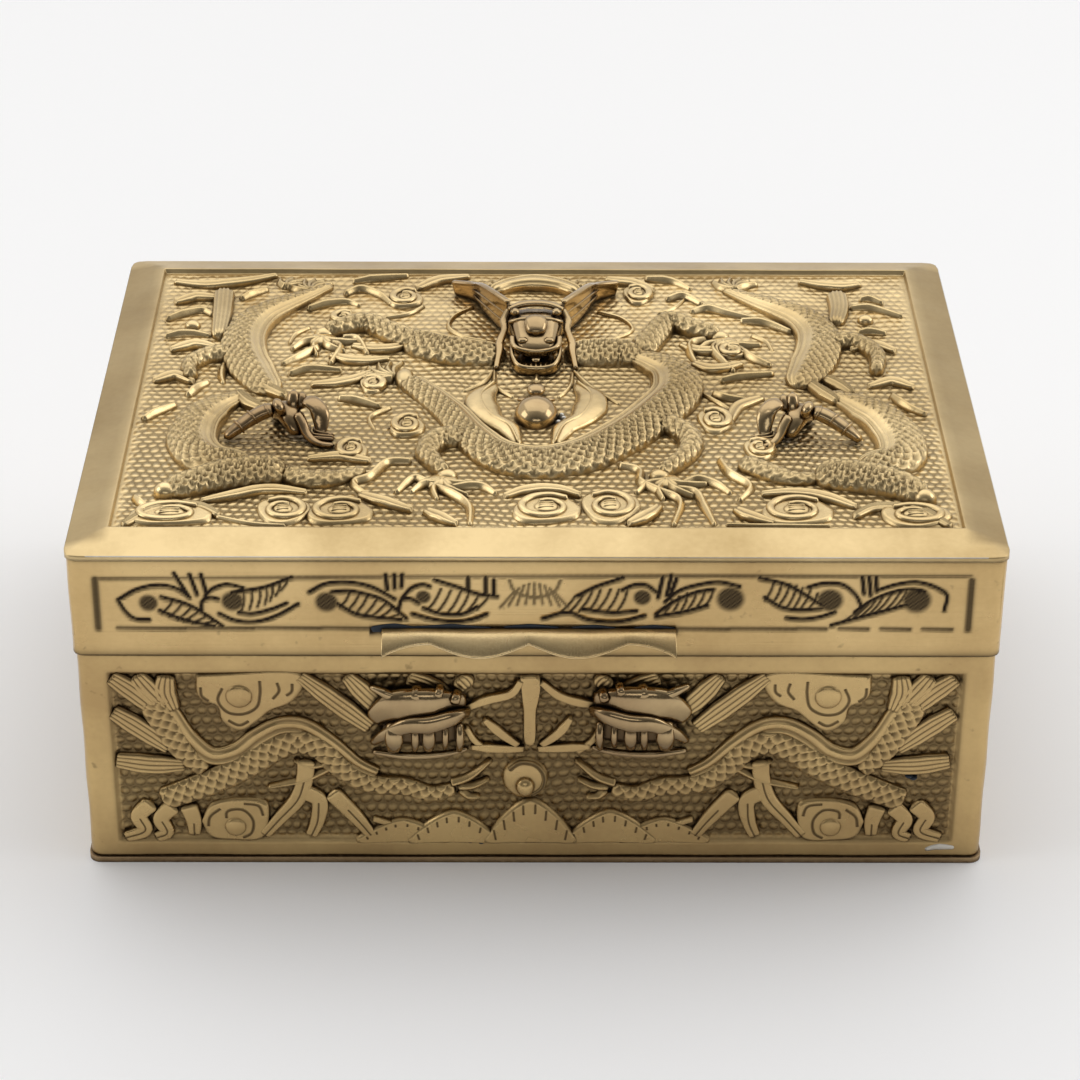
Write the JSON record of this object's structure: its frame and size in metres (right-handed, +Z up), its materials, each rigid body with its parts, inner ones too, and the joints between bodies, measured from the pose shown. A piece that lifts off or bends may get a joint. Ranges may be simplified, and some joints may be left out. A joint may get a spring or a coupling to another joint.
{
  "type": "repousse brass box",
  "caption": "Rectangular brass box with a lift-off lid, raised dragons, a pearl and clouds on its lid and front, and a scalloped lip for the thumb.",
  "frame": {"origin": "centre of the underside", "axes": "+X along the long side, to the right as the front is seen, -Y out of the front with the lip, +Z up"},
  "size_m": [0.1656, 0.1229, 0.0752],
  "materials": {
    "worked_brass": "satin, brown patina in the sunk ground",
    "polished_brass": "polished by handling, brown in the hollows"
  },
  "bodies": {
    "root": {"base_plate": "worked_brass", "box_walls": "worked_brass", "lid_band": "worked_brass", "lid_plate": "worked_brass", "thumb_lip": "worked_brass", "dragon_head_centre": "polished_brass", "dragon_head_left": "polished_brass", "dragon_head_right": "polished_brass", "front_head_left": "polished_brass", "front_head_right": "polished_brass", "flaming_pearl": "polished_brass"}
  },
  "joints": []
}
